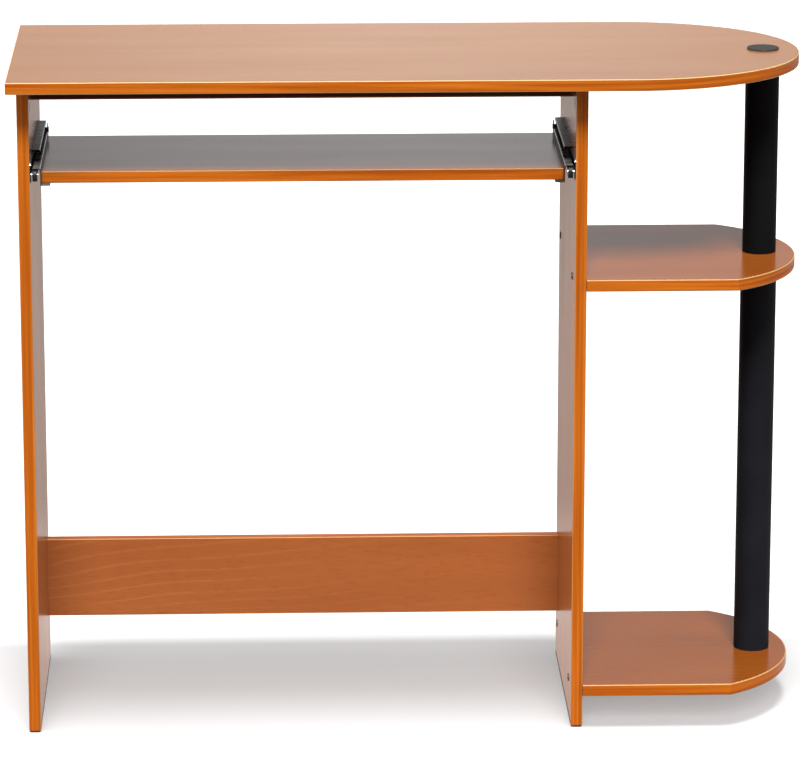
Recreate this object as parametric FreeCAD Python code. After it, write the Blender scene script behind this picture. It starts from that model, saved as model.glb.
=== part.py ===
import FreeCAD, Part
import math
import os

V = FreeCAD.Vector

# A desk with a half-round end, end shelves on a tube, and a keyboard tray on roller slides.
# Millimetres. The origin is on the floor under the middle of the desktop; +Z is up and the
# user sits on the -Y side.

# Desktop and boards
TOP_WIDTH = 995.0
TOP_DEPTH = 395.0
TOP_HEIGHT = 853.0
BOARD = 15.0
EDGE = 2.0                # thickness of the edge bands
ARRIS = 1.4               # rounding of a band's outer edges
END_RADIUS = 184.0        # round end of the desktop and of both shelves
BLEND_RUN = 36.0          # from the end's centre back to where the desktop's straight sides stop

# Side panels
LEFT_OVERHANG = 11.0      # desktop beyond the left panel's outer face
CLEAR_WIDTH = 677.5       # between the panels
PANEL_DEPTH = 304.0
PANEL_SETBACK = 47.0      # front of the desktop to front of the panels

# Rails between the panels
TOP_RAIL_HEIGHT = 38.0
TOP_RAIL_SETBACK = 113.0  # front of the panels to front of the top rail
STRETCHER_BOTTOM = 69.0
STRETCHER_TOP = 175.0
STRETCHER_INSET = 14.0    # rear of the panels to rear of the stretcher

# End shelves and the tube that joins their outer ends to the desktop
SHELF_DEPTH = 312.0
MIDDLE_SHELF_TOP = 590.0
BOTTOM_SHELF_TOP = 58.0
TUBE_INSET = 45.0         # tube's axis to the desktop's round end
UPPER_TUBE_RADIUS = 21.5
LOWER_TUBE_RADIUS = 23.0
TUBE_WALL = 1.2
PLUG_LENGTH = 22.0
STEM_RADIUS = 5.0
STEM_REACH = 20.0         # length of a stem inside a plug
CAP_RADIUS = 20.25
CAP_THICK = 2.2
CAP_ROUNDING = 0.9

# Keyboard tray
SLIDE_SPACE = 13.0        # panel to tray on each side
TRAY_TOP = 725.0
TRAY_DEPTH = 220.0
TRAY_SETBACK = 34.0       # front of the panels to front of the tray
TRAVEL = 165.0

# Roller slides. u is the distance from a panel's inner face towards the tray.
SHEET = 1.0
SLIDE_START = 5.0         # front of the panels to front of the cabinet rails
SLIDE_LENGTH = 250.0
CHANNEL_FLOOR = 727.0
CHANNEL_ROOF = 744.0
CHANNEL_WIDTH = 9.2
ROOF_START = 66.0         # front of the cabinet rail to front of its top flange
EAR_LENGTH = 20.0         # plain front end that carries the front roller
EAR_BOTTOM = 714.5
EAR_CORNERS = (4.0, 3.0, 5.0)     # front bottom, rear bottom, front top
RAIL_TOP_FRONT = 742.0    # top of the web in front of the top flange
ROLLER_RADIUS = 8.0
ROLLER_WIDTH = 5.8
ROLLER_START = 3.0        # u of a roller's outer side
ROLLER_GAP = 0.3          # a roller to the sheet it rolls on
HUB_RADIUS = 4.2
RIM_INSIDE = 6.8
DISH_DEPTH = 0.8          # of the ring between a roller's hub and rim
DISH_SLOPE = 0.4
RIM_ROUNDING = 0.5
AXLE_RADIUS = 2.0
AXLE_GAP = 0.05
RIVET_GAP = 0.1           # end play of a roller
RIVET_SHOULDER = 3.0      # radius of the collar beside a roller
RIVET_HEAD = 3.5
RIVET_HEAD_THICK = 0.9
RIVET_ROUNDING = 0.5
BEND_OUTSIDE = 1.2        # rounding of the sheet's bends
BEND_FOOT = 0.8
SHEET_ROUNDING = 0.4      # rounding of a flange's free edge
TRAY_FLANGE_TOP = 734.2
TRAY_FLANGE_REACH = 3.2   # u of the free edge of the tray rail's top flange
TONGUE_START = 3.0        # front of the cabinet rail to the tray rail's tongue
TRAY_RAIL_LEAD = 10.0     # tray rail in front of the tray
TRAY_RAIL_SHELF = 11.0    # width of the flange under the tray
TONGUE_HEIGHT = 5.0
FLANGE_TO_ROLLER = 1.0    # end of the tray rail's flange to its rear roller
UPSTAND_RADIUS = 8.0
STOP_GAP = 0.4

# Fasteners
RAIL_SCREWS = (11.0, 128.0, 216.0)    # from the front of a cabinet rail
FRONT_RAIL_SCREW_Z = 738.0
RAIL_SCREW_HEAD = 3.2
RAIL_SCREW_SINK = 1.6
RAIL_SCREW_LENGTH = 13.0
TRAY_SCREWS = (18.0, 108.0, 196.0)    # from the front of the tray
TRAY_SCREW_U = 6.5                    # from the tray's end
TRAY_SCREW_HEAD = 3.5
TRAY_SCREW_HEAD_HIGH = 2.0
TRAY_SCREW_LENGTH = 12.0
SCREW_POINT = 2.0                     # length of a screw's tapered point
CROSS_SIZE = 3.6
CROSS_DEPTH = 1.2
CROSS_RATIO = 4.5                     # a cross's length to the width of its arms
CAM_RADIUS = 7.5
CAM_DEPTH = 12.0
CAM_FROM_TOP = 30.0
CAM_FROM_EDGE = 30.0
CAM_CROSS = 9.0
CAM_CROSS_DEPTH = 2.0
CAM_POCKET_BELOW = 5.0
BOLT_RADIUS = 3.0
BOLT_HOLE = 4.0
BOLT_HEAD = 3.4
BOLT_HEAD_HIGH = 4.0
BOLT_THREAD = 3.2
BOLT_IN_TOP = 10.0
DOWEL_RADIUS = 4.0
DOWEL_LENGTH = 28.0
DOWEL_IN_FACE = 10.0      # depth of a dowel in the board whose face it enters
DOWEL_FROM_EDGE = 90.0
RAIL_DOWEL_DROP = 11.0    # desktop's underside to a top rail's dowel
SCREW_RADIUS = 2.6        # joint screw: core of the thread
NECK_RADIUS = 3.5
HEAD_RADIUS = 4.8
HEAD_DEPTH = 3.0
SCREW_LENGTH = 50.0
SCREW_TIP = 3.0
RAIL_SCREW_RISE = 13.0    # bottom of the top rail to its joint screws
STRETCHER_SCREW_INSET = 26.0
SHELF_SCREWS = (50.0, 279.0)          # from the front of the panels
SHELF_HEAD_PROUD = 1.2                # height of their low heads above the panel
SHELF_HEAD_ROUNDING = 0.8
SOCKET_ACROSS = 4.0
SOCKET_DEPTH = 3.0
COVER_RADIUS = 6.0
COVER_THICK = 0.9
COVER_ROUNDING = 0.6
PEG_RADIUS = 1.8
PEG_GAP = 0.5             # end of a cover's peg to the bottom of the socket
WOOD_SCREW_RADIUS = 1.75
GLIDE_LENGTH = 148.0
GLIDE_WIDTH = 14.0
GLIDE_THICK = 2.5
GLIDE_INSET = 1.0
GLIDE_CORNER = 3.0
GLIDE_PIN = 1.6
GLIDE_PIN_LENGTH = 14.0
GLIDE_PIN_SPREAD = 50.0               # from the middle of a glide to each pin

# Places worked out from the sizes above
TOP_UNDERSIDE = TOP_HEIGHT - BOARD
HALF_TOP = TOP_DEPTH / 2
END_X = TOP_WIDTH / 2 - END_RADIUS
LEFT_OUTER = -TOP_WIDTH / 2 + LEFT_OVERHANG
LEFT_INNER = LEFT_OUTER + BOARD
RIGHT_INNER = LEFT_INNER + CLEAR_WIDTH
RIGHT_OUTER = RIGHT_INNER + BOARD
MIDDLE_X = (LEFT_INNER + RIGHT_INNER) / 2
PANEL_FRONT = -HALF_TOP + PANEL_SETBACK
PANEL_REAR = PANEL_FRONT + PANEL_DEPTH
TOP_RAIL_FRONT = PANEL_FRONT + TOP_RAIL_SETBACK
STRETCHER_REAR = PANEL_REAR - STRETCHER_INSET
TUBE_X = TOP_WIDTH / 2 - TUBE_INSET
TRAY_UNDERSIDE = TRAY_TOP - BOARD
TRAY_FRONT = PANEL_FRONT + TRAY_SETBACK
TRAY_REAR = TRAY_FRONT + TRAY_DEPTH
RAIL_FRONT = PANEL_FRONT + SLIDE_START
RAIL_REAR = RAIL_FRONT + SLIDE_LENGTH
FRONT_ROLLER_Y = RAIL_FRONT + ROLLER_RADIUS
FRONT_ROLLER_Z = TRAY_FLANGE_TOP - SHEET - ROLLER_GAP - ROLLER_RADIUS
REAR_ROLLER_Y = TRAY_REAR - ROLLER_RADIUS - SHEET - SHEET
REAR_ROLLER_Z = CHANNEL_FLOOR + ROLLER_GAP + ROLLER_RADIUS
ROLLER_NEAR = ROLLER_START - RIVET_GAP
ROLLER_FAR = ROLLER_START + ROLLER_WIDTH + RIVET_GAP

TOUCHING = 1e-6


# ---- shapes ----

def box(x, y, z):
    """A box from its (low, high) limits on each axis."""
    return Part.makeBox(x[1] - x[0], y[1] - y[0], z[1] - z[0], V(x[0], y[0], z[0]))


def rounded_wire(corners, place):
    """A closed wire through (a, b, radius) corners, put in space by place(a, b)."""
    bends = []
    for i, (a, b, radius) in enumerate(corners):
        corner = V(a, b, 0)
        back = (V(corners[i - 1][0], corners[i - 1][1], 0) - corner).normalize()
        following = corners[(i + 1) % len(corners)]
        ahead = (V(following[0], following[1], 0) - corner).normalize()
        half_turn = back.getAngle(ahead) / 2
        reach = radius / math.tan(half_turn)
        bisector = (back + ahead).normalize()
        middle = corner + bisector * (radius / math.sin(half_turn) - radius)
        bends.append((corner + back * reach, middle, corner + ahead * reach))
    edges = []
    for i, (start, middle, end) in enumerate(bends):
        if corners[i][2] > 0:
            arc = Part.Arc(place(start.x, start.y), place(middle.x, middle.y), place(end.x, end.y))
            edges.append(arc.toShape())
        onward = bends[(i + 1) % len(bends)][0]
        if end.distanceToPoint(onward) > TOUCHING:
            edges.append(Part.makeLine(place(end.x, end.y), place(onward.x, onward.y)))
    return Part.Wire(edges)


def bar_x(corners, x):
    """A bar along X whose section is given by (y, z, radius) corners."""
    wire = rounded_wire(corners, lambda a, b: V(x[0], a, b))
    return Part.Face(wire).extrude(V(x[1] - x[0], 0, 0))


def bar_y(corners, y):
    """A bar along Y whose section is given by (x, z, radius) corners."""
    wire = rounded_wire(corners, lambda a, b: V(a, y[0], b))
    return Part.Face(wire).extrude(V(0, y[1] - y[0], 0))


def bar_z(corners, z):
    """A bar along Z whose section is given by (x, y, radius) corners."""
    wire = rounded_wire(corners, lambda a, b: V(a, b, z[0]))
    return Part.Face(wire).extrude(V(0, 0, z[1] - z[0]))


def turned(corners, base, axis):
    """A turned piece: (radius, height, rounding) corners, standing on base along axis."""
    wire = rounded_wire(corners, lambda a, b: V(a, 0, b))
    solid = Part.Face(wire).revolve(V(0, 0, 0), V(0, 0, 1), 360)
    solid.Placement = FreeCAD.Placement(base, FreeCAD.Rotation(V(0, 0, 1), axis))
    return solid


def rod(radius, start, axis, length):
    return Part.makeCylinder(radius, length, start, axis)


def hexagon(across, start, axis, depth):
    """A six-sided bar, such as the inside of a hex socket."""
    radius = across / math.sqrt(3)
    points = [V(radius * math.cos(i * math.pi / 3), radius * math.sin(i * math.pi / 3), 0)
              for i in range(7)]
    solid = Part.Face(Part.makePolygon(points)).extrude(V(0, 0, depth))
    solid.Placement = FreeCAD.Placement(start, FreeCAD.Rotation(V(0, 0, 1), axis))
    return solid


def mirrored(shape):
    """The same piece for the right-hand side of the space between the panels."""
    return shape.mirror(V(MIDDLE_X, 0, 0), V(1, 0, 0))


def both_sides(shape):
    return [shape, mirrored(shape)]


def soften(solid, low, high, skip_x=None):
    """Round the outer edges of a flat board at the heights low and high, except along x = skip_x."""
    edges = []
    for edge in solid.Edges:
        bounds = edge.BoundBox
        off_rim = min(abs(bounds.ZMin - low), abs(bounds.ZMin - high))
        flat = bounds.ZLength < TOUCHING and off_rim < TOUCHING
        skipped = (skip_x is not None and bounds.XLength < TOUCHING
                   and abs(bounds.XMin - skip_x) < TOUCHING)
        if flat and not skipped:
            edges.append(edge)
    return solid.makeFillet(ARRIS, edges)


# ---- boards ----

def desktop_slab(margin):
    """The desktop's outline, moved in by margin: square left end, three-arc right end."""
    half = HALF_TOP - margin
    left = -TOP_WIDTH / 2 + margin
    blend_x = END_X - BLEND_RUN
    blend_radius = (BLEND_RUN**2 + HALF_TOP**2 - END_RADIUS**2) / (2 * (HALF_TOP - END_RADIUS))
    blend_centre = HALF_TOP - blend_radius
    join_angle = math.atan2(-blend_centre, BLEND_RUN)
    middle_angle = (join_angle + math.pi / 2) / 2
    join = V(END_X + (END_RADIUS - margin) * math.cos(join_angle),
             (END_RADIUS - margin) * math.sin(join_angle), TOP_UNDERSIDE)
    middle = V(blend_x + (blend_radius - margin) * math.cos(middle_angle),
               blend_centre + (blend_radius - margin) * math.sin(middle_angle), TOP_UNDERSIDE)
    tip = V(TOP_WIDTH / 2 - margin, 0, TOP_UNDERSIDE)
    start = V(blend_x, half, TOP_UNDERSIDE)
    corner = V(left, half, TOP_UNDERSIDE)

    def front(point):
        return V(point.x, -point.y, point.z)

    wire = Part.Wire([
        Part.makeLine(corner, start),
        Part.Arc(start, middle, join).toShape(),
        Part.Arc(join, tip, front(join)).toShape(),
        Part.Arc(front(join), front(middle), front(start)).toShape(),
        Part.makeLine(front(start), front(corner)),
        Part.makeLine(front(corner), corner),
    ])
    return Part.Face(wire).extrude(V(0, 0, BOARD))


def shelf_slab(top, margin):
    """A shelf's outline, moved in by margin except at the panel: two sides and a round end."""
    half = SHELF_DEPTH / 2 - margin
    radius = END_RADIUS - margin
    corner_x = END_X + math.sqrt(radius**2 - half**2)
    z = top - BOARD
    near_rear = V(RIGHT_OUTER, half, z)
    far_rear = V(corner_x, half, z)
    tip = V(END_X + radius, 0, z)
    far_front = V(corner_x, -half, z)
    near_front = V(RIGHT_OUTER, -half, z)
    wire = Part.Wire([
        Part.makeLine(near_rear, far_rear),
        Part.Arc(far_rear, tip, far_front).toShape(),
        Part.makeLine(far_front, near_front),
        Part.makeLine(near_front, near_rear),
    ])
    return Part.Face(wire).extrude(V(0, 0, BOARD))


def desktop_edge():
    return soften(desktop_slab(0), TOP_UNDERSIDE, TOP_HEIGHT).cut(desktop_slab(EDGE))


def shelf_edge(top):
    outer = soften(shelf_slab(top, 0), top - BOARD, top, skip_x=RIGHT_OUTER)
    return outer.cut(shelf_slab(top, EDGE))


def panel_core(outer):
    return box((outer, outer + BOARD), (PANEL_FRONT + EDGE, PANEL_REAR - EDGE),
               (GLIDE_THICK, TOP_UNDERSIDE))


def panel_edges(outer):
    """The bands on the front and rear edges of a panel."""
    strips = []
    for face, inside in ((PANEL_FRONT, PANEL_FRONT + EDGE), (PANEL_REAR, PANEL_REAR - EDGE)):
        section = [(outer, inside, 0), (outer, face, ARRIS),
                   (outer + BOARD, face, ARRIS), (outer + BOARD, inside, 0)]
        strips.append(bar_z(section, (GLIDE_THICK, TOP_UNDERSIDE)))
    return strips


def lengthwise_band(y, z, x):
    """A band on the long edge of a board; z or y runs from the board out to the band's face."""
    if y[1] - y[0] == BOARD:
        section = [(y[0], z[0], 0), (y[0], z[1], ARRIS), (y[1], z[1], ARRIS), (y[1], z[0], 0)]
    else:
        section = [(y[0], z[0], 0), (y[1], z[0], ARRIS), (y[1], z[1], ARRIS), (y[0], z[1], 0)]
    return bar_x(section, x)


def top_rail():
    span = (LEFT_INNER, RIGHT_INNER)
    y = (TOP_RAIL_FRONT, TOP_RAIL_FRONT + BOARD)
    low = TOP_UNDERSIDE - TOP_RAIL_HEIGHT
    return box(span, y, (low + EDGE, TOP_UNDERSIDE)), lengthwise_band(y, (low + EDGE, low), span)


def rear_stretcher():
    span = (LEFT_INNER, RIGHT_INNER)
    y = (STRETCHER_REAR - BOARD, STRETCHER_REAR)
    core_z = (STRETCHER_BOTTOM + EDGE, STRETCHER_TOP - EDGE)
    bands = [lengthwise_band(y, (core_z[0], STRETCHER_BOTTOM), span),
             lengthwise_band(y, (core_z[1], STRETCHER_TOP), span)]
    return box(span, y, core_z), bands


def keyboard_tray():
    span = (LEFT_INNER + SLIDE_SPACE, RIGHT_INNER - SLIDE_SPACE)
    z = (TRAY_UNDERSIDE, TRAY_TOP)
    core_y = (TRAY_FRONT + EDGE, TRAY_REAR - EDGE)
    bands = [lengthwise_band((core_y[0], TRAY_FRONT), z, span),
             lengthwise_band((core_y[1], TRAY_REAR), z, span)]
    return box(span, core_y, z), bands


# ---- tube and its fittings ----

def tube(radius, z):
    wall = rod(radius, V(TUBE_X, 0, z[0]), V(0, 0, 1), z[1] - z[0])
    return wall.cut(rod(radius - TUBE_WALL, V(TUBE_X, 0, z[0]), V(0, 0, 1), z[1] - z[0]))


def tube_plugs(radius, z):
    """A plug in each end of a tube, bored for the stems."""
    inner = radius - TUBE_WALL
    plugs = []
    for low in (z[0], z[1] - PLUG_LENGTH):
        corners = [(STEM_RADIUS, 0, 0), (inner, 0, 0), (inner, PLUG_LENGTH, 0),
                   (STEM_RADIUS, PLUG_LENGTH, 0)]
        plugs.append(turned(corners, V(TUBE_X, 0, low), V(0, 0, 1)))
    return plugs


def stem_cap(face_z, outward):
    """A round cap on a board's face, with a stem through the board into the tube's plug."""
    stem = BOARD + STEM_REACH
    corners = [(0, -stem, 0), (STEM_RADIUS, -stem, 0), (STEM_RADIUS, 0, 0), (CAP_RADIUS, 0, 0),
               (CAP_RADIUS, CAP_THICK, CAP_ROUNDING), (0, CAP_THICK, 0)]
    return turned(corners, V(TUBE_X, 0, face_z), V(0, 0, outward))


def shelf_stud():
    low = MIDDLE_SHELF_TOP - BOARD - STEM_REACH
    return rod(STEM_RADIUS, V(TUBE_X, 0, low), V(0, 0, 1), BOARD + 2 * STEM_REACH)


# ---- roller slides, left-hand side ----

def at(u):
    return LEFT_INNER + u


def rail_screw_places():
    """(y, z) of the three screws of a cabinet rail."""
    middle = (CHANNEL_FLOOR + CHANNEL_ROOF) / 2
    heights = (FRONT_RAIL_SCREW_Z, middle, middle)
    return [(RAIL_FRONT + along, z) for along, z in zip(RAIL_SCREWS, heights)]


def flat_screw(y, z):
    """A countersunk screw, flush with the inside of the rail's web, into the panel."""
    reach = RAIL_SCREW_LENGTH
    corners = [(0, 0, 0), (RAIL_SCREW_HEAD, 0, 0), (WOOD_SCREW_RADIUS, RAIL_SCREW_SINK, 0),
               (WOOD_SCREW_RADIUS, reach - SCREW_POINT, 0), (0, reach, 0)]
    return turned(corners, V(at(SHEET), y, z), V(-1, 0, 0))


def cross_recess(start, axis, size, depth):
    """The cross of a screw's or cam's drive, centred on start and cut along axis."""
    arm = size / CROSS_RATIO
    slot = box((-size / 2, size / 2), (-arm / 2, arm / 2), (0, depth))
    cross = slot.fuse(slot.rotated(V(0, 0, 0), V(0, 0, 1), 90))
    cross.Placement = FreeCAD.Placement(start, FreeCAD.Rotation(V(0, 0, 1), axis))
    return cross


def front_rivet():
    """Held in the cabinet rail's web; its journal carries the front roller."""
    end = ROLLER_FAR + RIVET_HEAD_THICK
    corners = [(0, 0, 0), (AXLE_RADIUS, 0, 0), (AXLE_RADIUS, SHEET, 0), (RIVET_SHOULDER, SHEET, 0),
               (RIVET_SHOULDER, ROLLER_NEAR, 0), (AXLE_RADIUS, ROLLER_NEAR, 0),
               (AXLE_RADIUS, ROLLER_FAR, 0), (RIVET_HEAD, ROLLER_FAR, 0),
               (RIVET_HEAD, end, RIVET_ROUNDING), (0, end, 0)]
    return turned(corners, V(at(0), FRONT_ROLLER_Y, FRONT_ROLLER_Z), V(1, 0, 0))


def rear_rivet():
    """Held in the tray rail's upstand; its journal carries the rear roller."""
    web = SLIDE_SPACE - SHEET
    start = ROLLER_NEAR - RIVET_HEAD_THICK
    end = SLIDE_SPACE + RIVET_HEAD_THICK
    corners = [(0, start, 0), (RIVET_HEAD, start, RIVET_ROUNDING), (RIVET_HEAD, ROLLER_NEAR, 0),
               (AXLE_RADIUS, ROLLER_NEAR, 0), (AXLE_RADIUS, ROLLER_FAR, 0),
               (RIVET_SHOULDER, ROLLER_FAR, 0), (RIVET_SHOULDER, web, 0), (AXLE_RADIUS, web, 0),
               (AXLE_RADIUS, SLIDE_SPACE, 0), (RIVET_HEAD, SLIDE_SPACE, 0),
               (RIVET_HEAD, end, RIVET_ROUNDING), (0, end, 0)]
    return turned(corners, V(at(0), REAR_ROLLER_Y, REAR_ROLLER_Z), V(1, 0, 0))


def roller(y, z):
    """A moulded roller with a rim and a hub."""
    bore = AXLE_RADIUS + AXLE_GAP
    low, high = DISH_DEPTH, ROLLER_WIDTH - DISH_DEPTH
    dish = (HUB_RADIUS + DISH_SLOPE, RIM_INSIDE - DISH_SLOPE)
    corners = [(bore, 0, 0), (HUB_RADIUS, 0, 0), (dish[0], low, 0), (dish[1], low, 0),
               (RIM_INSIDE, 0, 0), (ROLLER_RADIUS, 0, RIM_ROUNDING),
               (ROLLER_RADIUS, ROLLER_WIDTH, RIM_ROUNDING), (RIM_INSIDE, ROLLER_WIDTH, 0),
               (dish[1], high, 0), (dish[0], high, 0), (HUB_RADIUS, ROLLER_WIDTH, 0),
               (bore, ROLLER_WIDTH, 0)]
    return turned(corners, V(at(ROLLER_START), y, z), V(1, 0, 0))


def cabinet_rail():
    """A channel that the rear roller runs in, with a plain front end for the front roller."""
    low, high = CHANNEL_FLOOR, CHANNEL_ROOF
    bottom, top = low - SHEET, high + SHEET
    back, web = at(0), at(SHEET)
    inside, outside = at(CHANNEL_WIDTH), at(CHANNEL_WIDTH + SHEET)
    roof_y = RAIL_FRONT + ROOF_START
    channel = [(back, bottom, BEND_FOOT), (back, top, BEND_FOOT), (outside, top, BEND_OUTSIDE),
               (outside, RAIL_TOP_FRONT, 0), (inside, RAIL_TOP_FRONT, 0),
               (inside, high, BEND_OUTSIDE - SHEET), (web, high, 0), (web, low, 0),
               (inside, low, 0), (inside, bottom, SHEET_ROUNDING)]
    open_channel = [(back, bottom, BEND_FOOT), (back, RAIL_TOP_FRONT, 0), (web, RAIL_TOP_FRONT, 0),
                    (web, low, 0), (inside, low, 0), (inside, bottom, SHEET_ROUNDING)]
    ear_rear = RAIL_FRONT + EAR_LENGTH
    ear = [(RAIL_FRONT, EAR_BOTTOM, EAR_CORNERS[0]), (ear_rear, EAR_BOTTOM, EAR_CORNERS[1]),
           (ear_rear, RAIL_TOP_FRONT, 0), (RAIL_FRONT, RAIL_TOP_FRONT, EAR_CORNERS[2])]
    stop_width = (web, inside)
    front_stop = REAR_ROLLER_Y - TRAVEL - STOP_GAP
    front_stop -= math.sqrt(ROLLER_RADIUS**2 - (RAIL_TOP_FRONT - REAR_ROLLER_Z)**2)
    rear_stop = REAR_ROLLER_Y + ROLLER_RADIUS + STOP_GAP
    pieces = [
        bar_y(open_channel, (ear_rear, roof_y)),
        bar_x(ear, (back, web)),
        box(stop_width, (front_stop - SHEET, front_stop), (RAIL_TOP_FRONT, high)),
        box(stop_width, (rear_stop, rear_stop + SHEET), (low, high)),
    ]
    rail = bar_y(channel, (roof_y, RAIL_REAR)).fuse(pieces).removeSplitter()
    for y, z in rail_screw_places():
        rail = rail.cut(flat_screw(y, z))
    return rail.cut(front_rivet())


def tray_screw_places():
    """y of the three screws of a tray rail."""
    return [TRAY_FRONT + along for along in TRAY_SCREWS]


def tray_screw(y):
    """A pan-head screw up through the tray rail's lower flange."""
    seat = TRAY_UNDERSIDE - SHEET
    high, reach = TRAY_SCREW_HEAD_HIGH, TRAY_SCREW_LENGTH
    corners = [(0, -high, 0), (TRAY_SCREW_HEAD, -high, high / 2), (TRAY_SCREW_HEAD, 0, 0),
               (WOOD_SCREW_RADIUS, 0, 0), (WOOD_SCREW_RADIUS, reach - SCREW_POINT, 0),
               (0, reach, 0)]
    return turned(corners, V(at(SLIDE_SPACE + TRAY_SCREW_U), y, seat), V(0, 0, 1))


def tray_rail():
    """An angle under the tray's end, a flange over the front roller, and a rear upstand."""
    front = TRAY_FRONT - TRAY_RAIL_LEAD
    flange_rear = REAR_ROLLER_Y - ROLLER_RADIUS - FLANGE_TO_ROLLER
    tongue_front = RAIL_FRONT + TONGUE_START
    web = (at(SLIDE_SPACE - SHEET), at(SLIDE_SPACE))
    low, top = TRAY_UNDERSIDE - SHEET, TRAY_FLANGE_TOP
    shelf_end = at(SLIDE_SPACE + TRAY_RAIL_SHELF)
    reach = at(TRAY_FLANGE_REACH)
    flange = [(web[1], top, BEND_OUTSIDE), (reach, top, SHEET_ROUNDING), (reach, top - SHEET, 0),
              (web[0], top - SHEET, 0)]
    foot = [(web[0], low, BEND_FOOT), (shelf_end, low, 0), (shelf_end, TRAY_UNDERSIDE, 0),
            (web[1], TRAY_UNDERSIDE, 0)]
    section = flange + foot
    tongue = flange + [(web[0], top - TONGUE_HEIGHT, 0), (web[1], top - TONGUE_HEIGHT, 0)]
    lower = foot + [(web[1], TRAY_TOP, 0), (web[0], TRAY_TOP, 0)]
    arch_z = REAR_ROLLER_Z + UPSTAND_RADIUS
    upstand = [(flange_rear, TRAY_TOP, 0), (TRAY_REAR, TRAY_TOP, 0),
               (TRAY_REAR, arch_z, UPSTAND_RADIUS), (flange_rear, arch_z, UPSTAND_RADIUS)]
    pieces = [
        bar_y(tongue, (tongue_front, front)),
        bar_y(lower, (flange_rear, TRAY_REAR)),
        bar_x(upstand, web),
    ]
    rail = bar_y(section, (front, flange_rear)).fuse(pieces).removeSplitter()
    for y in tray_screw_places():
        rail = rail.cut(tray_screw(y))
    return rail.cut(rear_rivet())


# ---- fasteners in the boards ----

def joint_screw(face_x, direction, y, z):
    """A joint screw through a panel into the end of another board, without its socket."""
    corners = [(0, 0, 0), (HEAD_RADIUS, 0, 0), (NECK_RADIUS, HEAD_DEPTH, 0),
               (NECK_RADIUS, BOARD, 0), (SCREW_RADIUS, BOARD, 0),
               (SCREW_RADIUS, SCREW_LENGTH - SCREW_TIP, 0), (0, SCREW_LENGTH, 0)]
    return turned(corners, V(face_x, y, z), V(direction, 0, 0))


def joint_socket(face_x, direction, y, z):
    return hexagon(SOCKET_ACROSS, V(face_x, y, z), V(direction, 0, 0), SOCKET_DEPTH)


def shelf_screw(face_x, direction, y, z):
    """A joint screw with a low head that stands on the panel's face."""
    proud = SHELF_HEAD_PROUD
    corners = [(0, -proud, 0), (HEAD_RADIUS, -proud, SHELF_HEAD_ROUNDING), (HEAD_RADIUS, 0, 0), (0, 0, 0)]
    head = turned(corners, V(face_x, y, z), V(direction, 0, 0))
    top = V(face_x - direction * proud, y, z)
    socket = hexagon(SOCKET_ACROSS, top, V(direction, 0, 0), SOCKET_DEPTH)
    return joint_screw(face_x, direction, y, z).fuse(head).removeSplitter().cut(socket)


def screw_cover(face_x, direction, y, z):
    """A cap on the panel's outer face, with a peg in the screw's socket."""
    peg_end = PEG_GAP - SOCKET_DEPTH
    corners = [(0, peg_end, 0), (PEG_RADIUS, peg_end, 0), (PEG_RADIUS, 0, 0), (COVER_RADIUS, 0, 0),
               (COVER_RADIUS, COVER_THICK, COVER_ROUNDING), (0, COVER_THICK, 0)]
    return turned(corners, V(face_x, y, z), V(-direction, 0, 0))


def rail_joints():
    """(face, direction, y, z) of the joint screws into the top rail."""
    y = TOP_RAIL_FRONT + BOARD / 2
    z = TOP_UNDERSIDE - TOP_RAIL_HEIGHT + RAIL_SCREW_RISE
    return [(LEFT_OUTER, 1, y, z), (RIGHT_OUTER, -1, y, z)]


def stretcher_joints():
    y = STRETCHER_REAR - BOARD / 2
    joints = []
    for z in (STRETCHER_BOTTOM + STRETCHER_SCREW_INSET, STRETCHER_TOP - STRETCHER_SCREW_INSET):
        joints.append((LEFT_OUTER, 1, y, z))
        joints.append((RIGHT_OUTER, -1, y, z))
    return joints


def shelf_joints():
    """The screws into the shelves' ends, with their heads on the right panel's inner face."""
    joints = []
    for top in (MIDDLE_SHELF_TOP, BOTTOM_SHELF_TOP):
        for along in SHELF_SCREWS:
            joints.append((RIGHT_INNER, 1, PANEL_FRONT + along, top - BOARD / 2))
    return joints


def cam_lock(y):
    """A cam in the left panel's inner face, open above for the bolt's head."""
    z = TOP_UNDERSIDE - CAM_FROM_TOP
    cam = rod(CAM_RADIUS, V(LEFT_INNER, y, z), V(-1, 0, 0), CAM_DEPTH)
    pocket_base = V(LEFT_INNER - BOARD / 2, y, z - CAM_POCKET_BELOW)
    pocket = rod(BOLT_HOLE, pocket_base, V(0, 0, 1), CAM_FROM_TOP)
    cross = cross_recess(V(LEFT_INNER, y, z), V(-1, 0, 0), CAM_CROSS, CAM_CROSS_DEPTH)
    return cam, cam.cut(pocket).cut(cross)


def cam_bolt(y):
    """A bolt screwed up into the desktop, with its head held by the cam."""
    reach = CAM_FROM_TOP + BOLT_HEAD_HIGH
    end = reach + BOLT_IN_TOP
    corners = [(0, 0, 0), (BOLT_HEAD, 0, RIVET_ROUNDING), (BOLT_HEAD, BOLT_HEAD_HIGH, 0),
               (BOLT_RADIUS, BOLT_HEAD_HIGH, 0), (BOLT_RADIUS, reach, 0), (BOLT_THREAD, reach, 0),
               (BOLT_THREAD, end, 0), (0, end, 0)]
    return turned(corners, V(LEFT_INNER - BOARD / 2, y, TOP_UNDERSIDE - reach), V(0, 0, 1))


def bolt_hole(y):
    z = TOP_UNDERSIDE - CAM_FROM_TOP
    return rod(BOLT_HOLE, V(LEFT_INNER - BOARD / 2, y, z), V(0, 0, 1), CAM_FROM_TOP)


def dowel(base, axis):
    corners = [(0, 0, 0), (DOWEL_RADIUS, 0, 1), (DOWEL_RADIUS, DOWEL_LENGTH, 1),
               (0, DOWEL_LENGTH, 0)]
    return turned(corners, base, axis)


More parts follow.
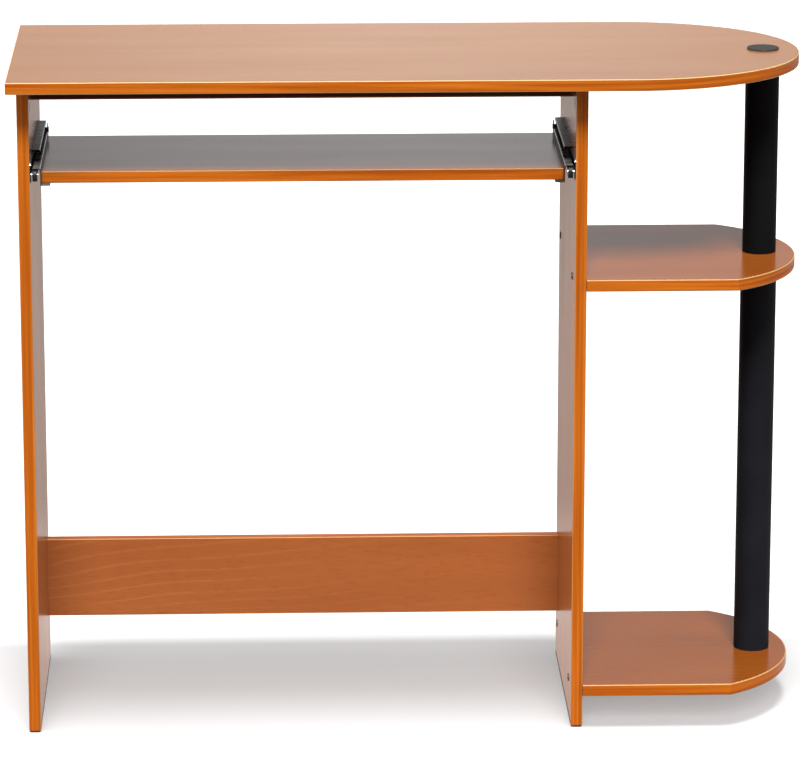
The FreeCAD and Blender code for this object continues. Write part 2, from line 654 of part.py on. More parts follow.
def top_dowel(y):
    z = TOP_UNDERSIDE + DOWEL_IN_FACE - DOWEL_LENGTH
    return dowel(V(LEFT_INNER - BOARD / 2, y, z), V(0, 0, 1))


def rail_dowel():
    y = TOP_RAIL_FRONT + BOARD / 2
    z = TOP_UNDERSIDE - RAIL_DOWEL_DROP
    return dowel(V(LEFT_INNER - DOWEL_IN_FACE, y, z), V(1, 0, 0))


def glide(y):
    """A long nail-in glide under the left panel."""
    x = LEFT_INNER - BOARD / 2
    across, along = GLIDE_WIDTH / 2, GLIDE_LENGTH / 2
    section = [(x + side * across, y + end * along, GLIDE_CORNER)
               for side, end in ((-1, -1), (1, -1), (1, 1), (-1, 1))]
    pins = [rod(GLIDE_PIN, V(x, y + end * GLIDE_PIN_SPREAD, GLIDE_THICK), V(0, 0, 1), GLIDE_PIN_LENGTH)
            for end in (-1, 1)]
    return bar_z(section, (0, GLIDE_THICK)).fuse(pins).removeSplitter()


# ---- the desk ----

def cut_all(shape, tools):
    for tool in tools:
        shape = shape.cut(tool)
    return shape


def socketed(joints):
    """Finished joint screws, each with its socket."""
    return [joint_screw(*joint).cut(joint_socket(*joint)) for joint in joints]


def build():
    """Every node of the desk: its name and its solids."""
    nodes = {}
    cam_places = (PANEL_FRONT + CAM_FROM_EDGE, PANEL_REAR - CAM_FROM_EDGE)
    dowel_places = (PANEL_FRONT + DOWEL_FROM_EDGE, PANEL_REAR - DOWEL_FROM_EDGE)
    glide_places = (PANEL_FRONT + GLIDE_INSET + GLIDE_LENGTH / 2,
                    PANEL_REAR - GLIDE_INSET - GLIDE_LENGTH / 2)

    cams = [part for y in cam_places for part in both_sides(cam_lock(y)[1])]
    cam_seats = [part for y in cam_places for part in both_sides(cam_lock(y)[0])]
    bolts = [part for y in cam_places for part in both_sides(cam_bolt(y))]
    bolt_holes = [part for y in cam_places for part in both_sides(bolt_hole(y))]
    top_dowels = [part for y in dowel_places for part in both_sides(top_dowel(y))]
    rail_dowels = both_sides(rail_dowel())
    glides = [part for y in glide_places for part in both_sides(glide(y))]
    rail_screws = [part for y, z in rail_screw_places() for part in both_sides(flat_screw(y, z))]
    tray_screws = [part for y in tray_screw_places() for part in both_sides(tray_screw(y))]
    front_rivets = both_sides(front_rivet())
    rear_rivets = both_sides(rear_rivet())
    all_joints = rail_joints() + stretcher_joints() + shelf_joints()
    joint_holes = [joint_screw(*joint) for joint in all_joints]
    desktop_stem = stem_cap(TOP_HEIGHT, 1)
    bottom_stem = stem_cap(BOTTOM_SHELF_TOP - BOARD, -1)
    stud = shelf_stud()

    nodes["desktop"] = [cut_all(desktop_slab(EDGE), bolts + top_dowels + [desktop_stem])]
    nodes["desktop_edge"] = [desktop_edge()]
    panel_tools = cam_seats + bolt_holes + top_dowels + rail_dowels + glides + rail_screws + joint_holes
    for name, outer in (("left_panel", LEFT_OUTER), ("right_panel", RIGHT_INNER)):
        nodes[name] = [cut_all(panel_core(outer), panel_tools)]
        nodes[name + "_edges"] = panel_edges(outer)

    core, band = top_rail()
    nodes["top_rail"] = [cut_all(core, rail_dowels + joint_holes)]
    nodes["top_rail_edge"] = [band]
    core, bands = rear_stretcher()
    nodes["rear_stretcher"] = [cut_all(core, joint_holes)]
    nodes["rear_stretcher_edges"] = bands

    nodes["middle_shelf"] = [cut_all(shelf_slab(MIDDLE_SHELF_TOP, EDGE), joint_holes + [stud])]
    nodes["middle_shelf_edge"] = [shelf_edge(MIDDLE_SHELF_TOP)]
    nodes["bottom_shelf"] = [cut_all(shelf_slab(BOTTOM_SHELF_TOP, EDGE), joint_holes + [bottom_stem])]
    nodes["bottom_shelf_edge"] = [shelf_edge(BOTTOM_SHELF_TOP)]

    upper_span = (MIDDLE_SHELF_TOP, TOP_UNDERSIDE)
    lower_span = (BOTTOM_SHELF_TOP, MIDDLE_SHELF_TOP - BOARD)
    nodes["upper_tube"] = [tube(UPPER_TUBE_RADIUS, upper_span)]
    nodes["lower_tube"] = [tube(LOWER_TUBE_RADIUS, lower_span)]
    nodes["upper_tube_plugs"] = tube_plugs(UPPER_TUBE_RADIUS, upper_span)
    nodes["lower_tube_plugs"] = tube_plugs(LOWER_TUBE_RADIUS, lower_span)
    nodes["desktop_cap"] = [desktop_stem]
    nodes["shelf_stud"] = [stud]
    nodes["bottom_cap"] = [bottom_stem]

    core, bands = keyboard_tray()
    nodes["keyboard_tray"] = [cut_all(core, tray_screws)]
    nodes["keyboard_tray_edges"] = bands

    slides = {
        "cabinet_rail": cabinet_rail(),
        "tray_rail": tray_rail(),
        "front_roller": roller(FRONT_ROLLER_Y, FRONT_ROLLER_Z),
        "rear_roller": roller(REAR_ROLLER_Y, REAR_ROLLER_Z),
    }
    for name, piece in slides.items():
        nodes["left_" + name] = [piece]
        nodes["right_" + name] = [mirrored(piece)]
    nodes["front_roller_rivets"] = front_rivets
    nodes["rear_roller_rivets"] = rear_rivets

    crosses = []
    for y, z in rail_screw_places():
        start = V(at(SHEET), y, z)
        crosses += both_sides(cross_recess(start, V(-1, 0, 0), CROSS_SIZE, CROSS_DEPTH))
    nodes["cabinet_rail_screws"] = [screw.cut(cross) for screw, cross in zip(rail_screws, crosses)]
    crosses = []
    for y in tray_screw_places():
        start = V(at(SLIDE_SPACE + TRAY_SCREW_U), y, TRAY_UNDERSIDE - SHEET - TRAY_SCREW_HEAD_HIGH)
        crosses += both_sides(cross_recess(start, V(0, 0, 1), CROSS_SIZE, CROSS_DEPTH))
    nodes["tray_rail_screws"] = [screw.cut(cross) for screw, cross in zip(tray_screws, crosses)]

    nodes["cam_locks"] = cams
    nodes["cam_bolts"] = bolts
    nodes["top_dowels"] = top_dowels
    nodes["rail_dowels"] = rail_dowels
    nodes["top_rail_screws"] = socketed(rail_joints())
    nodes["stretcher_screws"] = socketed(stretcher_joints())
    nodes["shelf_screws"] = [shelf_screw(*joint) for joint in shelf_joints()]
    nodes["screw_covers"] = [screw_cover(*joint) for joint in rail_joints() + stretcher_joints()]
    nodes["panel_glides"] = glides
    return nodes


def main():
    os.makedirs("parts", exist_ok=True)
    for name, solids in build().items():
        shape = solids[0] if len(solids) == 1 else Part.makeCompound(solids)
        assert shape.isValid(), name
        print(name, len(shape.Solids), round(shape.Volume))
        shape.exportStep("parts/" + name + ".step")


main()
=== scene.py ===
import math

import bpy
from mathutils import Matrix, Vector

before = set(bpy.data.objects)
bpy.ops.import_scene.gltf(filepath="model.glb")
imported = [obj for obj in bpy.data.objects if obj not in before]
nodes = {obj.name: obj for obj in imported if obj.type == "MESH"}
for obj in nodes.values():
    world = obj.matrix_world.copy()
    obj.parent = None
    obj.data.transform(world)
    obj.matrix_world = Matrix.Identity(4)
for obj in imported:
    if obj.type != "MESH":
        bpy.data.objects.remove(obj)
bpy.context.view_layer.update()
scene = bpy.context.scene

# Camera: in front and a little above, far enough away for nearly upright sides
CAMERA_AIM = Vector((-0.008, 0.0, 0.423))
CAMERA_DISTANCE = 6.0
CAMERA_AZIMUTH = math.radians(1.8)
CAMERA_ELEVATION = math.radians(14.73)
CAMERA_LENS = 209.5
BACKDROP_TURN = 0.033       # sideways lean of the backdrop's glow, as seen from the desk

# Metres, in the desk's frame: the screws by the shelves, two at each of two heights
SHELF_SCREW_MID_Y = 0.014
SHELF_SCREW_HALF_Y = 0.1145
SHELF_SCREW_MID_Z = 0.3165
SHELF_SCREW_HALF_Z = 0.266
FOOT_SHADOW_LINE = (0.0065, 0.0080)    # where the painted contact shadow along a panel's foot fades out

# Colours
CHERRY_LIGHT = (0.262, 0.073, 0.0140)
CHERRY = (0.245, 0.066, 0.0120)
CHERRY_DARK = (0.226, 0.058, 0.0100)
CHERRY_LINE = (0.330, 0.112, 0.0300)
CHERRY_FLECK = (0.165, 0.038, 0.0070)
BAND_LIGHT = (0.365, 0.098, 0.0070)
BAND = (0.290, 0.067, 0.0030)
BAND_DARK = (0.215, 0.044, 0.0018)
# Painted highlight on the edge bands' roundings
BAND_ARRIS_HIGHLIGHT = (0.440, 0.380, 0.1900)

# Grain directions, and the streaks of a band along a level edge
ALONG_X = (0.0, 0.0, 0.0)
ALONG_Z = (0.0, math.pi / 2, 0.0)
LEVEL_STREAKS = (4.0, 4.0, 200.0)


# ---- node graphs ----

class Graph:
    """A node tree, built by short calls."""

    def __init__(self, tree):
        self.tree = tree

    def add(self, kind, settings=None, **inputs):
        node = self.tree.nodes.new("ShaderNode" + kind)
        for key, value in (settings or {}).items():
            setattr(node, key, value)
        for key, value in inputs.items():
            self.put(node.inputs[key.replace("_", " ")], value)
        return node

    def put(self, socket, value):
        if isinstance(value, bpy.types.NodeSocket):
            self.tree.links.new(value, socket)
        else:
            socket.default_value = value

    def math(self, operation, *values):
        node = self.add("Math", {"operation": operation})
        for socket, value in zip(node.inputs, values):
            self.put(socket, value)
        return node.outputs[0]

    def vector(self, operation, *values):
        node = self.add("VectorMath", {"operation": operation})
        for socket, value in zip(node.inputs, values):
            self.put(socket, value)
        return node.outputs["Value"] if operation == "LENGTH" else node.outputs["Vector"]

    def place(self, rotation=(0, 0, 0), scale=(1, 1, 1), shift=(0, 0, 0)):
        """Positions in the desk's frame, turned and shifted, then stretched."""
        where = self.add("TexCoord").outputs["Object"]
        turned = self.add("Mapping", Vector=where, Rotation=rotation, Location=shift)
        return self.vector("MULTIPLY", turned.outputs[0], scale)

    def noise(self, vector, scale, detail, roughness=0.5):
        node = self.add("TexNoise", Vector=vector, Scale=scale, Detail=detail, Roughness=roughness)
        return node.outputs["Fac"]

    def spread(self, value, low, high, to_low, to_high, smooth=False):
        kind = "SMOOTHSTEP" if smooth else "LINEAR"
        node = self.add("MapRange", {"interpolation_type": kind})
        for socket, number in zip(node.inputs, (value, low, high, to_low, to_high)):
            self.put(socket, number)
        return node.outputs[0]

    def mix(self, factor, a, b, blend="MIX"):
        node = self.add("Mix", {"data_type": "RGBA", "blend_type": blend})
        self.put(node.inputs["Factor"], factor)
        self.put(node.inputs["A"], a)
        self.put(node.inputs["B"], b)
        return node.outputs["Result"]

    def ramp(self, factor, *stops):
        node = self.add("ValToRGB", Fac=factor)
        points = node.color_ramp.elements
        while len(points) < len(stops):
            points.new(0.5)
        for point, (position, colour) in zip(points, stops):
            point.position = position
            point.color = (*colour, 1)
        return node.outputs["Color"]

    def bump(self, height, strength, distance):
        node = self.add("Bump", Height=height, Strength=strength, Distance=distance)
        return node.outputs[0]


class Surface(Graph):
    """A material with one shader."""

    def __init__(self, name):
        self.material = bpy.data.materials.new(name)
        self.material.use_nodes = True
        super().__init__(self.material.node_tree)
        self.tree.nodes.clear()
        output = self.tree.nodes.new("ShaderNodeOutputMaterial")
        self.shader = self.tree.nodes.new("ShaderNodeBsdfPrincipled")
        self.tree.links.new(self.shader.outputs[0], output.inputs["Surface"])

    def finish(self, **inputs):
        for key, value in inputs.items():
            self.put(self.shader.inputs[key.replace("_", " ")], value)
        return self.material


# ---- wood ----

def cherry_grain(graph, direction, seed, figure, shading_tint):
    """Colour and fibre height of the printed cherry: soft clouds, light growth lines, dark flecks."""
    place = graph.place(direction, shift=(seed * 0.37, seed * 0.83, seed * 0.19))
    parts = graph.add("SeparateXYZ", Vector=place)
    across = graph.math("ADD", parts.outputs[1], parts.outputs[2])
    across = graph.math("MULTIPLY_ADD", parts.outputs[0], -0.11, across)

    drift = graph.noise(graph.vector("MULTIPLY", place, (1.5, 5.0, 5.0)), 1.0, 2.0)
    ragged = graph.noise(graph.vector("MULTIPLY", place, (14.0, 150.0, 150.0)), 1.0, 2.0)
    rings = graph.math("MULTIPLY_ADD", drift, 5.0, graph.math("MULTIPLY", ragged, 0.18))
    ring = graph.math("FRACT", graph.math("MULTIPLY_ADD", across, 62.0, rings))
    rise = graph.spread(ring, 0.74, 0.92, 0.0, 1.0, smooth=True)
    fall = graph.spread(ring, 0.93, 1.0, 1.0, 0.0, smooth=True)
    line = graph.math("MULTIPLY", rise, fall)
    shown = graph.noise(graph.vector("MULTIPLY", place, (1.9, 12.0, 12.0)), 1.0, 1.0)
    line = graph.math("MULTIPLY", line, graph.spread(shown, 0.40, 0.66, 0.0, 1.0, smooth=True))

    cloud = graph.noise(graph.vector("MULTIPLY", place, (2.2, 13.0, 13.0)), 1.0, 3.0)
    fibre = graph.noise(graph.vector("MULTIPLY", place, (10.0, 520.0, 520.0)), 1.0, 3.0, 0.6)
    fleck_field = graph.noise(graph.vector("MULTIPLY", place, (55.0, 820.0, 820.0)), 1.0, 2.0)
    fleck = graph.spread(fleck_field, 0.56, 0.72, 0.0, 1.0, smooth=True)

    colour = graph.ramp(cloud, (0.28, CHERRY_DARK), (0.5, CHERRY), (0.74, CHERRY_LIGHT))
    colour = graph.mix(graph.spread(fibre, 0.3, 0.7, 0.0, 0.35 * figure), colour, (*CHERRY_DARK, 1))
    colour = graph.mix(graph.math("MULTIPLY", line, 0.34 * figure), colour, (*CHERRY_LINE, 1))
    colour = graph.mix(graph.math("MULTIPLY", fleck, 0.60 * figure), colour, (*CHERRY_FLECK, 1))
    colour = graph.mix(1.0, colour, (*shading_tint, 1), "MULTIPLY")
    height = graph.math("MULTIPLY_ADD", fleck, -0.8, fibre)
    return colour, height


def cherry_foil(name, direction, seed, figure, shading_tint, shine, stands):
    """Satin wood-grain foil on a board's faces, with a painted contact shadow along the foot of a board
    that stands.
    """
    graph = Surface(name)
    colour, height = cherry_grain(graph, direction, seed, figure, shading_tint)
    patch = graph.noise(graph.place(direction, (4.0, 22.0, 22.0)), 1.0, 2.0)
    gloss = graph.spread(patch, 0.3, 0.7, 0.19, 0.22)
    if stands:
        up = graph.add("SeparateXYZ", Vector=graph.place()).outputs[2]
        # Painted shadow: a near-black line along the panel's foot stands in for the contact shadow at the
        # floor, with the roughness raised there too.
        foot = graph.spread(up, *FOOT_SHADOW_LINE, 0.95, 0.0, smooth=True)
        colour = graph.mix(foot, colour, (0.008, 0.005, 0.004, 1))
        gloss = graph.math("MAXIMUM", gloss, foot)
    return graph.finish(
        Base_Color=colour,
        Roughness=gloss,
        Specular_IOR_Level=shine,
        Normal=graph.bump(height, 0.06, 0.0002),
    )


def arris(graph, across_a, across_b):
    """1 on a rounding between faces whose normals lie along the two given directions, else 0."""
    normal = graph.add("TexCoord").outputs["Normal"]
    a = graph.vector("LENGTH", graph.vector("MULTIPLY", normal, across_a))
    b = graph.vector("LENGTH", graph.vector("MULTIPLY", normal, across_b))
    return graph.spread(graph.math("MINIMUM", a, b), 0.15, 0.55, 0.0, 1.0, smooth=True)


def cherry_band(name, streaks, faces, highlight_strength, shading_tint=(1.0, 1.0, 1.0)):
    """The edge band: close straight streaks, a stronger colour, and roundings painted lighter as a
    highlight.
    """
    graph = Surface(name)
    place = graph.place()
    broad = graph.noise(graph.vector("MULTIPLY", place, streaks), 1.0, 2.0)
    fine = tuple(4.5 * value for value in streaks)
    fibre = graph.noise(graph.vector("MULTIPLY", place, fine), 1.0, 3.0, 0.6)
    colour = graph.ramp(broad, (0.32, BAND_DARK), (0.5, BAND), (0.66, BAND_LIGHT))
    colour = graph.mix(graph.spread(fibre, 0.35, 0.7, 0.0, 0.28), colour, (*BAND_DARK, 1))
    colour = graph.mix(1.0, colour, (*shading_tint, 1), "MULTIPLY")
    # Painted highlight: the roundings are lightened toward pale yellow, standing in for the light line
    # along each arris.
    arris_highlight = graph.math("MULTIPLY", arris(graph, *faces), highlight_strength)
    colour = graph.mix(arris_highlight, colour, (*BAND_ARRIS_HIGHLIGHT, 1))
    return graph.finish(
        Base_Color=colour,
        Roughness=graph.spread(fibre, 0.3, 0.7, 0.24, 0.34),
        Specular_IOR_Level=0.12,
        Normal=graph.bump(fibre, 0.08, 0.0002),
    )


def bare_wood():
    graph = Surface("bare_beech")
    place = graph.place(ALONG_Z, (30.0, 900.0, 900.0))
    fleck = graph.noise(place, 1.0, 3.0, 0.6)
    colour = graph.ramp(fleck, (0.3, (0.42, 0.27, 0.13)), (0.7, (0.66, 0.47, 0.28)))
    return graph.finish(Base_Color=colour, Roughness=0.65, Normal=graph.bump(fleck, 0.3, 0.0003))


# ---- plastics and metals ----

def moulded(name, dark, light, roughness, shine=0.5):
    """A moulded or coated surface: fine texture, and faint patches in its gloss."""
    graph = Surface(name)
    texture = graph.noise(graph.place(), 2600.0, 2.0)
    cloud = graph.noise(graph.place(), 18.0, 3.0)
    colour = graph.ramp(cloud, (0.3, dark), (0.75, light))
    return graph.finish(
        Base_Color=colour,
        Specular_IOR_Level=shine,
        Roughness=graph.spread(cloud, 0.3, 0.7, roughness - 0.05, roughness + 0.06),
        Normal=graph.bump(texture, 0.12, 0.0001),
    )


def epoxy(name):
    """Black epoxy on folded steel: bare along the bends, its top faces painted lighter grey as a painted
    reflection.
    """
    graph = Surface(name)
    cloud = graph.noise(graph.place(), 60.0, 3.0)
    texture = graph.noise(graph.place(), 1500.0, 2.0)
    colour = graph.ramp(cloud, (0.3, (0.005, 0.005, 0.006)), (0.75, (0.012, 0.012, 0.013)))
    bends = arris(graph, (1, 1, 0), (0, 0, 1))
    worn = graph.math("MULTIPLY", bends, graph.spread(cloud, 0.3, 0.6, 0.6, 1.0))
    # Painted reflection: upward faces are lightened to grey in patches, standing in for the backdrop's
    # glow mirrored by the flanges.
    upward = graph.add("SeparateXYZ", Vector=graph.add("TexCoord").outputs["Normal"]).outputs[2]
    patchy = graph.spread(cloud, 0.35, 0.6, 0.1, 1.0)
    top_sheen = graph.math("MULTIPLY", graph.spread(upward, 0.8, 1.0, 0.0, 0.32), patchy)
    colour = graph.mix(top_sheen, colour, (0.34, 0.34, 0.33, 1))
    colour = graph.mix(worn, colour, (0.68, 0.68, 0.67, 1))
    return graph.finish(
        Base_Color=colour,
        Metallic=worn,
        Specular_IOR_Level=0.1,
        Roughness=graph.spread(cloud, 0.3, 0.7, 0.24, 0.36),
        Normal=graph.bump(texture, 0.25, 0.0001),
    )


def plated(name, colour, shade, roughness):
    """Zinc plate: faint turning marks and a mottled tone."""
    graph = Surface(name)
    mottle = graph.noise(graph.place(), 420.0, 3.0)
    marks = graph.noise(graph.place(scale=(2600.0, 400.0, 400.0)), 1.0, 2.0)
    return graph.finish(
        Base_Color=graph.ramp(mottle, (0.3, shade), (0.7, colour)),
        Metallic=1.0,
        Roughness=graph.spread(mottle, 0.3, 0.7, roughness - 0.06, roughness + 0.08),
        Normal=graph.bump(marks, 0.08, 0.0001),
    )


def joint_screw():
    """Blackened metal head with a bright metal disc at its centre."""
    graph = Surface("joint_screw")
    _, y, z = graph.add("SeparateXYZ", Vector=graph.place()).outputs
    # Fold the four screws onto one
    y = graph.math("ABSOLUTE", graph.math("SUBTRACT", y, SHELF_SCREW_MID_Y))
    y = graph.math("SUBTRACT", y, SHELF_SCREW_HALF_Y)
    z = graph.math("ABSOLUTE", graph.math("SUBTRACT", z, SHELF_SCREW_MID_Z))
    z = graph.math("SUBTRACT", z, SHELF_SCREW_HALF_Z)
    radius = graph.vector("LENGTH", graph.add("CombineXYZ", Y=y, Z=z).outputs[0])
    bright = graph.spread(radius, 0.0013, 0.0019, 1.0, 0.0, smooth=True)
    mottle = graph.noise(graph.place(), 420.0, 3.0)
    black = graph.ramp(mottle, (0.3, (0.05, 0.05, 0.05)), (0.7, (0.09, 0.09, 0.085)))
    return graph.finish(
        Base_Color=graph.mix(bright, black, (0.85, 0.84, 0.80, 1)),
        Metallic=1.0,
        Roughness=graph.spread(mottle, 0.3, 0.7, 0.16, 0.24),
        Normal=graph.bump(mottle, 0.1, 0.0001),
    )


# ---- giving each node its material ----

def dress(names, material):
    for name in names:
        piece = nodes[name]
        piece.data.materials.clear()
        piece.data.materials.append(material)


def dress_boards():
    # Grain direction, seed, strength of figure, shading tint (painted light and shade on one foil), shine
    boards = {
        # Painted light: the desktop's tint lightens its green and blue, standing in for the stronger light
        # on its top.
        "desktop": (ALONG_X, 1.3, 0.8, (0.98, 1.36, 1.50), 0.54),
        # Painted shade: the two shelves are tinted darker than the other boards, standing in for the
        # weaker light that reaches them.
        "middle_shelf": (ALONG_X, 2.9, 0.7, (0.82, 0.78, 0.50), 0.32),
        "bottom_shelf": (ALONG_X, 4.1, 0.6, (0.75, 0.70, 0.38), 0.50),
        "keyboard_tray": (ALONG_X, 5.7, 0.8, (0.95, 0.92, 0.80), 0.90),
        "rear_stretcher": (ALONG_X, 7.3, 0.9, (1.0, 1.0, 1.0), 0.42),
        # Painted shade: the top rail's foil is tinted near-black with little shine, standing in for the
        # deep shade under the desktop.
        "top_rail": (ALONG_X, 8.9, 0.8, (0.24, 0.14, 0.12), 0.08),
        "left_panel": (ALONG_Z, 10.1, 0.7, (1.0, 1.0, 1.0), 0.50),
        "right_panel": (ALONG_Z, 11.7, 0.7, (1.0, 1.0, 1.0), 0.50),
    }
    for name, settings in boards.items():
        dress([name], cherry_foil(name + "_foil", *settings, stands=name.endswith("_panel")))
    sides, ends, rise = (1, 1, 0), (0, 0, 1), (0, 1, 0)
    dress(["desktop_edge"], cherry_band("cherry_band_top", LEVEL_STREAKS, (sides, ends), 0.85))
    dress(["middle_shelf_edge", "bottom_shelf_edge"],
          cherry_band("cherry_band_level", LEVEL_STREAKS, (sides, ends), 0.55))
    # Painted light: the tray's edge bands are tinted lighter than the other bands.
    dress(["keyboard_tray_edges"],
          cherry_band("cherry_band_tray", LEVEL_STREAKS, (sides, ends), 0.55, (1.16, 1.13, 1.1)))
    dress(["rear_stretcher_edges", "top_rail_edge"],
          cherry_band("cherry_band_flat", (4.0, 200.0, 200.0), (sides, ends), 0.4))
    dress(["left_panel_edges", "right_panel_edges"],
          cherry_band("cherry_band_upright", (240.0, 240.0, 3.0), ((1, 0, 0), rise), 0.25))


def dress_fittings():
    black = (0.006, 0.006, 0.007)
    # Painted shade and light: the two tubes are one black, but the upper is given a darker colour and the
    # lower a lighter, bluer one.
    dress(["upper_tube"], moulded("upper_tube_shaded_black", (0.0030, 0.0030, 0.0035),
                                  (0.0045, 0.0045, 0.0052), 0.50, shine=0.03))
    dress(["lower_tube"], moulded("lower_tube_lit_black", (0.0060, 0.0062, 0.0082),
                                  (0.0085, 0.0088, 0.0112), 0.50, shine=0.03))
    dress(["desktop_cap", "bottom_cap"], moulded("cap_black", (0.012, 0.012, 0.012),
                                                 (0.022, 0.022, 0.022), 0.45, shine=0.3))
    dress(["upper_tube_plugs", "lower_tube_plugs", "shelf_stud", "panel_glides"],
          moulded("fitting_black", (0.010, 0.010, 0.010), (0.020, 0.020, 0.020), 0.50))
    rails = [side + piece for side in ("left_", "right_") for piece in ("cabinet_rail", "tray_rail")]
    dress(rails, epoxy("rail_epoxy"))
    rollers = [side + end + "_roller" for side in ("left_", "right_") for end in ("front", "rear")]
    dress(rollers, moulded("roller_nylon", black, (0.010, 0.010, 0.011), 0.45, shine=0.2))
    dress(["shelf_screws"], joint_screw())
    dress(["cabinet_rail_screws", "rear_roller_rivets"],
          plated("black_zinc", (0.10, 0.10, 0.11), (0.05, 0.05, 0.06), 0.40))
    zinc = plated("zinc_plate", (0.72, 0.72, 0.70), (0.50, 0.50, 0.48), 0.30)
    dress(["front_roller_rivets", "tray_rail_screws", "cam_bolts"], zinc)
    dress(["top_rail_screws", "stretcher_screws"], zinc)
    dress(["cam_locks"], plated("cam_zinc", (0.26, 0.25, 0.24), (0.15, 0.145, 0.14), 0.45))
    dress(["top_dowels", "rail_dowels"], bare_wood())
    dress(["screw_covers"], moulded("cover_brown", (0.36, 0.10, 0.02), (0.44, 0.13, 0.03), 0.42))


# ---- floor, light and camera ----

def make_floor():
    """Backlit white acrylic to the camera, its glow shaped into a painted shadow under the desk; dimmer in
    reflections, brightest round the desk.
    """
    size = 14.0
    mesh = bpy.data.meshes.new("floor")
    corners = [(-size, -size, 0), (size, -size, 0), (size, size, 0), (-size, size, 0)]
    mesh.from_pydata(corners, [], [(0, 1, 2, 3)])
    floor = bpy.data.objects.new("floor", mesh)
    scene.collection.objects.link(floor)
    graph = Surface("floor_acrylic")
    place = graph.place()
    seen = graph.add("LightPath").outputs["Is Camera Ray"]
    behind = graph.vector("SUBTRACT", place, (0.0, 0.25, 0.0))
    distance = graph.vector("LENGTH", graph.vector("MULTIPLY", behind, (0.3, 1.0, 1.0)))
    pool = graph.spread(distance, 0.15, 0.70, 0.55, 0.09, smooth=True)
    back = graph.add("SeparateXYZ", Vector=place).outputs[1]
    # Painted shadow: the glow the camera sees falls from the front toward the rear under the desk, then
    # steps up behind it, washing out the shadow cast there.
    near = graph.spread(back, -0.12, 0.20, 0.36, 0.23)
    painted_shadow_glow = graph.math("ADD", near, graph.spread(back, 0.20, 0.25, 0.0, 0.41, smooth=True))
    unseen = graph.math("SUBTRACT", 1.0, seen)
    glow = graph.math("ADD", graph.math("MULTIPLY", seen, painted_shadow_glow), graph.math("MULTIPLY", unseen, pool))
    cloud = graph.noise(place, 1.5, 2.0)
    paper = graph.ramp(cloud, (0.2, (0.41, 0.41, 0.41)), (0.8, (0.43, 0.43, 0.43)))
    colour = graph.mix(seen, (0.23, 0.20, 0.18, 1), paper)
    mesh.materials.append(graph.finish(
        Base_Color=colour, Roughness=0.9, Specular_IOR_Level=0.0,
        Emission_Color=graph.mix(seen, (1.16, 0.99, 0.90, 1), (1, 1, 1, 1)), Emission_Strength=glow))
    return floor


def make_sun(name, elevation, azimuth, softness, irradiance):
    """A far soft light; irradiance 1 lights a surface facing it as white surroundings would."""
    data = bpy.data.lights.new(name, "SUN")
    data.angle = math.radians(softness)
    data.energy = irradiance * math.pi
    light = bpy.data.objects.new(name, data)
    rise, turn = math.radians(elevation), math.radians(azimuth)
    towards = Vector((math.sin(turn) * math.cos(rise), -math.cos(turn) * math.cos(rise), math.sin(rise)))
    light.rotation_mode = "QUATERNION"
    light.rotation_quaternion = (-towards).to_track_quat("-Z", "Y")
    light.location = towards * 4
    scene.collection.objects.link(light)
    return light


def keep_off(light, thing, only=False):
    """Stop a light from lighting one thing, or let it light only that thing."""
    lit = bpy.data.collections.new(light.name + "_lights")
    light.light_linking.receiver_collection = lit
    lit.objects.link(thing)
    lit.collection_objects[0].light_linking.link_state = "INCLUDE" if only else "EXCLUDE"


def light_all(floor):
    """Three lights for the desk, and two for the floor alone."""
    keep_off(make_sun("key", 53.0, 0.0, 18.0, 2.22), floor)
    keep_off(make_sun("fill_left", 25.0, -68.0, 30.0, 0.55), floor)
    keep_off(make_sun("fill_right", 25.0, 62.0, 30.0, 0.29), floor)
    keep_off(make_sun("floor_top", 84.0, 0.0, 20.0, 1.35), floor, only=True)
    keep_off(make_sun("floor_front", 28.0, 0.0, 40.0, 1.0), floor, only=True)


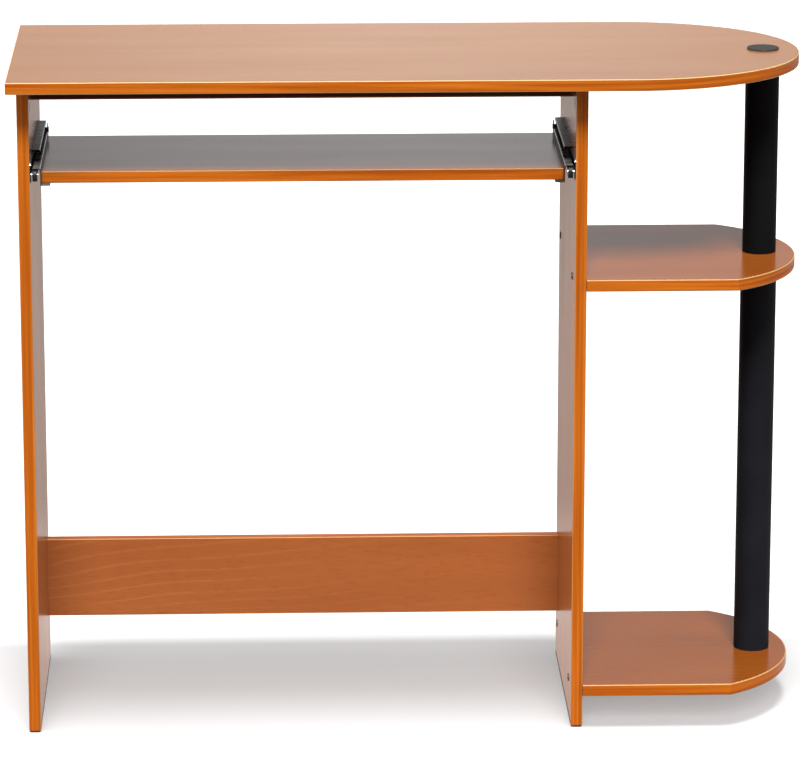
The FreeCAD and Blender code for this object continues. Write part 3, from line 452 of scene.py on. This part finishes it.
def make_world():
    """A room that is dim in front, brighter to the left, with a bright band low behind the desk."""
    world = bpy.data.worlds.new("studio")
    world.use_nodes = True
    graph = Graph(world.node_tree)
    parts = graph.add("SeparateXYZ", Vector=graph.add("TexCoord").outputs["Generated"])
    across, ahead, up = parts.outputs[0], parts.outputs[1], parts.outputs[2]
    room = graph.spread(graph.math("MULTIPLY_ADD", up, 0.45, ahead), -0.35, 0.75, 0.10, 0.26, smooth=True)
    left = graph.spread(across, -0.80, -0.22, 0.55, 0.0, smooth=True)
    right = graph.spread(across, 0.22, 0.80, 0.0, 0.28, smooth=True)
    sides = graph.math("ADD", left, right)
    off_middle = graph.math("ABSOLUTE", graph.math("SUBTRACT", across, BACKDROP_TURN))
    glow = graph.spread(off_middle, 0.0, 0.15, 1.0, 0.35, smooth=True)
    glow = graph.math("MULTIPLY", glow, graph.spread(up, 0.190, 0.245, 1.0, 0.31, smooth=True))
    glow = graph.math("MULTIPLY", glow, graph.spread(up, 0.26, 0.55, 1.0, 0.3, smooth=True))
    glow = graph.math("MULTIPLY", glow, graph.spread(ahead, 0.3, 0.8, 0.0, 0.80, smooth=True))
    light = graph.math("ADD", graph.math("ADD", room, sides), glow)
    light = graph.math("MAXIMUM", light, graph.add("LightPath").outputs["Is Camera Ray"])
    graph.put(world.node_tree.nodes["Background"].inputs["Strength"], light)
    world.node_tree.nodes["Background"].inputs["Color"].default_value = (1.0, 1.0, 1.0, 1.0)
    scene.world = world


def make_camera():
    data = bpy.data.cameras.new("camera")
    data.sensor_width = 36.0
    data.lens = CAMERA_LENS
    data.clip_end = 60.0
    camera = bpy.data.objects.new("camera", data)
    back = Vector((-math.sin(CAMERA_AZIMUTH) * math.cos(CAMERA_ELEVATION),
                   -math.cos(CAMERA_AZIMUTH) * math.cos(CAMERA_ELEVATION),
                   math.sin(CAMERA_ELEVATION)))
    camera.location = CAMERA_AIM + back * CAMERA_DISTANCE
    camera.rotation_mode = "QUATERNION"
    camera.rotation_quaternion = (-back).to_track_quat("-Z", "Y")
    scene.collection.objects.link(camera)
    scene.camera = camera


def set_looks():
    scene.view_settings.view_transform = "Standard"
    scene.view_settings.look = "None"


make_camera()
make_world()
floor = make_floor()
light_all(floor)
set_looks()
dress_boards()
dress_fittings()
